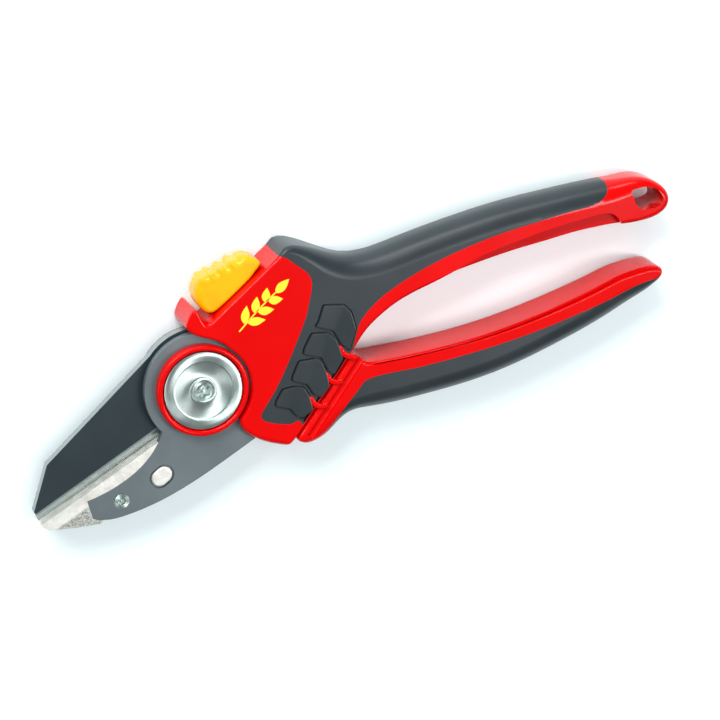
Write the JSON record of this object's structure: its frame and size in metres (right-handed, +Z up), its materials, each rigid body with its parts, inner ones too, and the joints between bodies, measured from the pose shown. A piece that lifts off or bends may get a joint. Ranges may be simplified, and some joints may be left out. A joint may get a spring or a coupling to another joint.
{
  "type": "pruning shears",
  "caption": "One-hand anvil pruning shears, closed and locked: pivoting blade on a soft-metal anvil, moulded handles with soft grips, and a thumb-operated closing lock.",
  "frame": {"origin": "on the pivot axis, in the flat back face of the pivot nut, on which the closed shears lie", "axes": "+X from the blade's tip towards the handle ends, +Y from the lower handle towards the upper handle, +Z up out of the front face, along the pivot axis"},
  "size_m": [0.2085, 0.0695, 0.016],
  "materials": {
    "red_shell": "glossy injection-moulded nylon, signal red",
    "soft_grip": "matt thermoplastic elastomer, blue-black grey",
    "plate_grey": "satin grey baked coating on steel",
    "blade_coat": "dark low-friction coating, bare ground edge",
    "anvil_alloy": "die-cast light alloy, machined working face",
    "plated_steel": "bright zinc plating, turned head",
    "yellow_shell": "glossy yellow moulding",
    "spring_steel": "oiled spring steel",
    "bush_bronze": "sintered bronze",
    "washer_plastic": "low-friction polymer"
  },
  "bodies": {
    "anvil_handle": {"upper_handle_frame": "red_shell", "upper_grip": "soft_grip", "anvil_plate_front": "plate_grey", "anvil_plate_rear": "plate_grey", "plate_spacer": "plated_steel", "anvil": "anvil_alloy", "anvil_screw": "plated_steel", "anvil_nut": "plated_steel", "pivot_bolt": "plated_steel", "pivot_nut": "plated_steel", "pivot_ring_front": "red_shell", "pivot_ring_rear": "red_shell", "blade_washer_front": "washer_plastic", "blade_washer_rear": "washer_plastic", "plate_screws": "plated_steel", "lock_detent_spring": "spring_steel"},
    "blade_handle": {"blade": "blade_coat", "pivot_bush": "bush_bronze", "return_spring": "spring_steel", "lower_handle_frame": "red_shell", "lower_grip": "soft_grip", "tang_screws": "plated_steel"},
    "lock_slide": {"lock_slider": "yellow_shell", "lock_tongue": "plated_steel", "slider_pin": "plated_steel"}
  },
  "joints": [
    {"name": "handle_pivot", "type": "hinge", "parent": "anvil_handle", "child": "blade_handle", "pos_m": [0, 0, 0.008], "axis": [0, 0, -1], "range_deg": [0, 28], "deforming": ["return_spring"]},
    {"name": "lock_travel", "type": "slide", "parent": "anvil_handle", "child": "lock_slide", "axis": [0.9489, 0.3156, 0], "range_m": [0, 0.006]}
  ]
}
